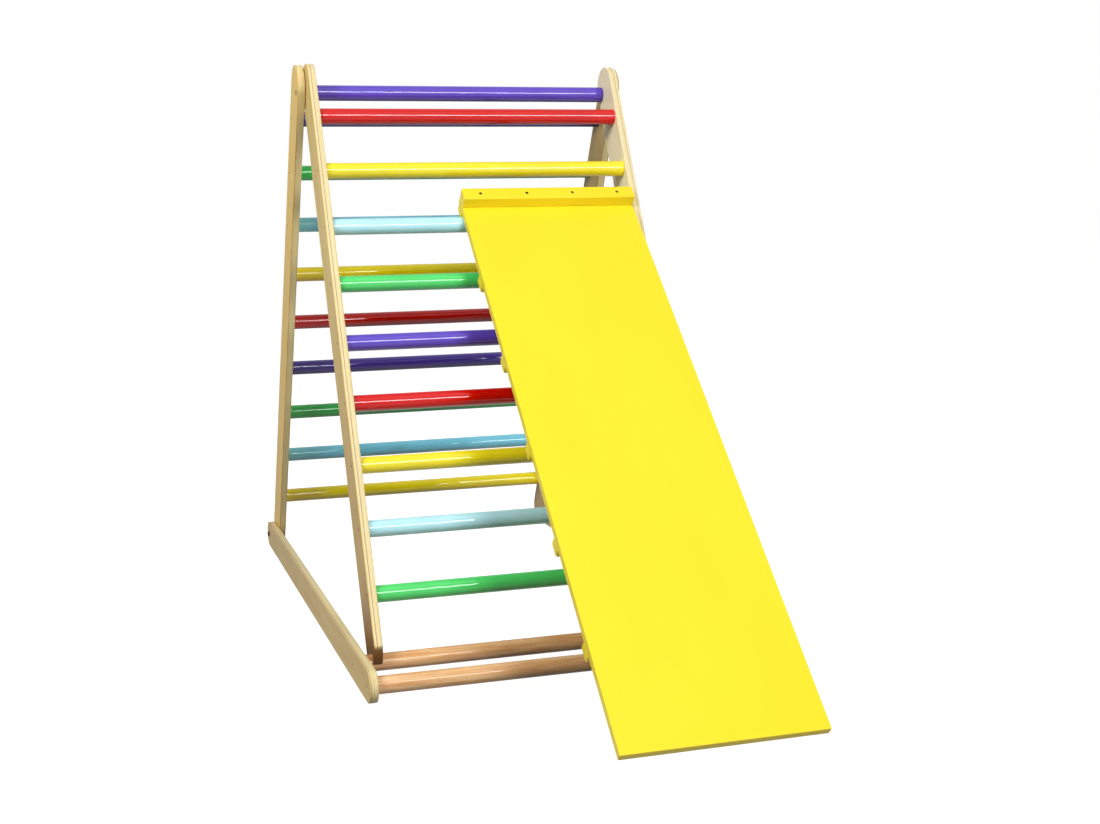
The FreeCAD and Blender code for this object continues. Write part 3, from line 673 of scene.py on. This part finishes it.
boardBase = -boardShape["battenHeight"]
blockTop = boardShape["thickness"] + boardShape["blockHeight"]


def boardBar(node, startAlong, endAlong, bottom, top, easing):
    low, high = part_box(node)
    bar = addBar((low.x, startAlong, bottom), (high.x, endAlong, top))
    easeEdges(bar, easing, boardShape["easingSegments"])
    return bar


def finishBar(bar, node, paint):
    smooth(bar)
    standFor(bar, node, paint, boardFrame)


def alongBoard(node):
    return inFrame(boardFrame, middleOf(node)).y


def screwRow(node, count, along):
    # screws spread evenly across the bar
    low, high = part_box(node)
    first = low.x + boardShape["screwMargin"]
    step = (high.x - boardShape["screwMargin"] - first) / (count - 1)
    return [(first + step * number, along) for number in range(count)]


def blockScrewPlaces():
    return screwRow("ramp_top_block", boardShape["blockScrews"], boardLength - boardShape["blockDepth"] / 2)


def battenScrewPlaces(node):
    return screwRow(node, boardShape["battenScrews"], alongBoard(node))


def buildBlocks(paint):
    startAlong = boardLength - boardShape["blockDepth"]
    block = boardBar("ramp_top_block", startAlong, boardLength, boardShape["thickness"], blockTop,
                     boardShape["blockEasing"])
    countersink(block, [(x, along, blockTop) for x, along in blockScrewPlaces()], (0, 0, 0))
    finishBar(block, "ramp_top_block", paint)

    # the hook block begins just behind the rung
    startAlong = inFrame(boardFrame, boardRung).y + ladderShape["rungRadius"] + boardShape["hookGap"]
    endAlong = 2 * alongBoard("ramp_hook_block") - startAlong
    hook = boardBar("ramp_hook_block", startAlong, endAlong, -boardShape["hookHeight"], 0,
                    boardShape["blockEasing"])
    finishBar(hook, "ramp_hook_block", paint)


def buildBatten(node, paint):
    startAlong = alongBoard(node) - boardShape["battenWidth"] / 2
    bar = boardBar(node, startAlong, startAlong + boardShape["battenWidth"], boardBase, 0,
                   boardShape["battenEasing"])
    countersink(bar, [(x, along, boardBase) for x, along in battenScrewPlaces(node)], (math.pi, 0, 0))
    finishBar(bar, node, paint)


def buildBoard():
    board = boardBar("ramp_board", 0, boardLength, 0, boardShape["thickness"], boardShape["easing"])
    finishBar(board, "ramp_board", yellowBoardPaint("yellow_board", veneered=True))
    paint = yellowBoardPaint("yellow_bars", veneered=False)
    buildBlocks(paint)
    for node in battens:
        buildBatten(node, paint)
    print("sliding board made")


# Screws and bolts, each modelled once with the top of its head on the XY plane, and copied

screwShape = {"head": 0.0034, "shank": 0.0022, "headHeight": 0.0013, "length": 0.012, "socket": 0.0017,
              "socketDepth": 0.0011, "easing": 0.00015, "easingSegments": 2, "points": 40, "sunk": 0.0004}


def hexSocketCutter(radius, depth):
    selectOnly()
    bpy.ops.mesh.primitive_cylinder_add(vertices=6, radius=radius, depth=2 * depth)
    return bpy.context.active_object


def screwModel():
    shape = screwShape
    selectOnly()
    bpy.ops.mesh.primitive_cone_add(vertices=shape["points"], radius1=shape["shank"], radius2=shape["head"],
                                    depth=shape["headHeight"], location=(0, 0, -shape["headHeight"] / 2))
    screw = bpy.context.active_object
    bpy.ops.object.transform_apply(location=True, rotation=True, scale=True)
    editVertices(screw, lambda place: place.z < -shape["headHeight"] / 2)
    bpy.ops.mesh.extrude_region_move(TRANSFORM_OT_translate={"value": (0, 0, -shape["length"])})
    leaveEditMode()
    easeEdges(screw, shape["easing"], shape["easingSegments"])
    cutAway(screw, hexSocketCutter(shape["socket"], shape["socketDepth"]))
    smooth(screw)
    return screw


outwards = {name: Matrix.Rotation(side * quarterTurn, 4, "Y") for name, side in sides.items()}
downwards = Matrix.Rotation(math.pi, 4, "X")


def copyInto(node, source, places, sunk=0.0):
    # one piece of all the copies, each with the top of its head sunk under its place
    under = Matrix.Translation((0, 0, -sunk))
    standFor(joined([copyAt(source, place @ under) for place in places]), node, darkSteel)


def stripScrewPlaces(kind):
    places = []
    for name, side in sides.items():
        outer = outerFace(f"{kind}_{name}", side)
        places += [ownFrames[kind] @ Matrix.Translation((outer, y, z)) @ outwards[name]
                   for y, z in screwSpots(kind)]
    return places


def buildScrews():
    screw = screwModel()
    onBlock = [boardFrame @ Matrix.Translation((x, along, blockTop)) for x, along in blockScrewPlaces()]
    underBattens = [boardFrame @ Matrix.Translation((x, along, boardBase)) @ downwards
                    for batten in battens for x, along in battenScrewPlaces(batten)]
    rows = {"front_rung_screws": stripScrewPlaces("front_stile"),
            "rear_rung_screws": stripScrewPlaces("rear_stile"),
            "base_dowel_screws": stripScrewPlaces("base_plank"),
            "ramp_block_screws": onBlock, "batten_screws": underBattens}
    for node, places in rows.items():
        copyInto(node, screw, places, screwShape["sunk"])
    bpy.data.objects.remove(screw)
    print("screws made")


boltShape = {"shank": 0.003, "socket": 0.0023, "socketDepth": 0.0018, "overlap": 0.0002, "headPoints": 48,
             "shankPoints": 32, "domeSegments": 5}
# the floor frame turns on the foot bolts, and the front ladder on the pivot bolts
bolts = {"foot_pivot_bolts": {"head": 0.006, "height": 0.003, "doming": 0.0014, "length": 0.028,
                              "axis": footBolt},
         "top_pivot_bolts": {"head": 0.0055, "height": 0.004, "doming": 0.0006, "length": 0.040,
                             "axis": hinge}}


def boltModel(size):
    height, length = size["height"], size["length"]
    bolt = addRod(size["head"], height, (0, 0, -height / 2), boltShape["headPoints"], "Z")
    editVertices(bolt, lambda place: place.z > -height / 2)
    bpy.ops.mesh.bevel(offset=size["doming"], segments=boltShape["domeSegments"], affect="EDGES")
    leaveEditMode()
    cutAway(bolt, hexSocketCutter(boltShape["socket"], boltShape["socketDepth"]))
    shankMiddle = (0, 0, boltShape["overlap"] - height - length / 2)
    shank = addRod(boltShape["shank"], length, shankMiddle, boltShape["shankPoints"], "Z")
    bolt = joined([bolt, shank])
    smooth(bolt)
    return bolt


def buildBolts():
    for node, size in bolts.items():
        bolt = boltModel(size)
        outer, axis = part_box(node)[1].x, size["axis"]
        places = [Matrix.Translation((outer * side, axis.y, axis.z)) @ outwards[name]
                  for name, side in sides.items()]
        copyInto(node, bolt, places)
        bpy.data.objects.remove(bolt)
    print("bolts made")


# the small turned parts keep their CAD shapes and only get a metal
turnedParts = {"foot_washers": brightSteel, "top_pivot_washers": brightSteel, "foot_nuts": brightSteel,
               "rung_inserts": insertBrass}


def finishTurnedParts():
    for node, finish in turnedParts.items():
        piece = frame["nodes"][node]
        piece.data.materials.clear()
        piece.data.materials.append(finish)
    print("washers, nuts and inserts finished")


buildStrips()
buildDowels()
buildBoard()
buildScrews()
buildBolts()
finishTurnedParts()


# Floor, light and camera

studio = {"floorSize": 60, "floorColour": 0.35, "floorGlow": 0.93, "floorBounce": 0.12, "worldLevel": 0.15,
          "sunStrength": 0.2, "sunAngle": 22, "sunFrom": (-0.35, -1.0, 1.5)}


def paleFloor():
    # near white for the camera and for gloss, with the object's shadow; darker as a bouncer of light
    selectOnly()
    bpy.ops.mesh.primitive_plane_add(size=studio["floorSize"], location=(0, 0, 0))
    floor = bpy.context.active_object
    floor.name = "floor"
    recipe = newRecipe("pale_floor")
    seen = recipe.seenDirectly()
    greys = [(studio[name],) * 3 + (1,) for name in ("floorBounce", "floorColour", "floorGlow")]
    shade = recipe.mixed(seen, greys[0], greys[1])
    glow = recipe.mixed(seen, (0, 0, 0, 1), greys[2])
    floor.data.materials.append(recipe.finish({"Base Color": shade, "Roughness": 0.9,
                                               "Specular IOR Level": 0.0, "Emission Color": glow,
                                               "Emission Strength": 1.0}))


def softWorld():
    world = bpy.data.worlds.new("soft_light")
    bpy.context.scene.world = world
    recipe = Recipe(world)
    level = studio["worldLevel"]
    shade = recipe.mixed(recipe.seenDirectly(), (level, level, level, 1), (1, 1, 1, 1))
    light = recipe.node("ShaderNodeBackground", {}, {"Color": shade})
    recipe.node("ShaderNodeOutputWorld", {}, {"Surface": light})


# the softbox draws the long highlight on every rung, so it stands square to them
lamps = {"overhead": {"place": (0.0, -1.3, 2.9), "aim": (0, 0, 0.5), "size": (2.6, 1.4), "power": 9},
         "softbox": {"place": (1.22, -4.3, 2.3), "aim": (1.22, 0, 0.7), "size": (1.6, 0.8), "power": 115},
         "leftSide": {"place": (-2.6, -1.5, 2.2), "aim": (-0.1, 0.1, 0.9), "size": (1.2, 1.2), "power": 68},
         "behind": {"place": (2.9, 1.5, 2.0), "aim": (0, 0, 0.6), "size": (1.8, 1.8), "power": 52}}


def addLamp(name, light, place, aim):
    holder = bpy.data.objects.new(name, light)
    bpy.context.scene.collection.objects.link(holder)
    holder.location = place
    holder.rotation_euler = (Vector(aim) - Vector(place)).to_track_quat("-Z", "Y").to_euler()


def addLamps():
    for name, lamp in lamps.items():
        light = bpy.data.lights.new(name, "AREA")
        light.shape = "RECTANGLE"
        light.size, light.size_y = lamp["size"]
        light.energy = lamp["power"]
        addLamp(name, light, lamp["place"], lamp["aim"])
    sun = bpy.data.lights.new("soft_sun", "SUN")
    sun.energy = studio["sunStrength"]
    sun.angle = math.radians(studio["sunAngle"])
    addLamp("soft_sun", sun, studio["sunFrom"], (0, 0, 0))


# the photograph's camera in metres, degrees and pixels, worked out from straight edges in it
view = {"place": (-0.7990, -2.8413, 0.8428), "yaw": 17.629, "pitch": 8.332, "roll": -0.611,
        "focal": 1557.79, "centre": (549.60, 408.10), "width": 1100, "height": 824, "sensor": 36}


def addCamera():
    yaw, pitch, roll = [math.radians(view[name]) for name in ("yaw", "pitch", "roll")]
    ahead = Vector((math.sin(yaw) * math.cos(pitch), math.cos(yaw) * math.cos(pitch), -math.sin(pitch)))
    right = Vector((math.cos(yaw), -math.sin(yaw), 0))
    up = right.cross(ahead)
    rolledRight = right * math.cos(roll) + up * math.sin(roll)
    rolledUp = up * math.cos(roll) - right * math.sin(roll)
    lens = bpy.data.cameras.new("camera")
    lens.sensor_width = view["sensor"]
    lens.lens = view["focal"] / view["width"] * view["sensor"]
    lens.shift_x = (view["width"] / 2 - view["centre"][0]) / view["width"]
    lens.shift_y = (view["centre"][1] - view["height"] / 2) / view["width"]
    camera = bpy.data.objects.new("camera", lens)
    bpy.context.scene.collection.objects.link(camera)
    turn = Matrix((rolledRight, rolledUp, -ahead)).transposed().to_4x4()
    camera.matrix_world = Matrix.Translation(view["place"]) @ turn
    bpy.context.scene.camera = camera


paleFloor()
softWorld()
addLamps()
addCamera()
bpy.context.scene.view_settings.view_transform = "Standard"
print("floor, light and camera set")
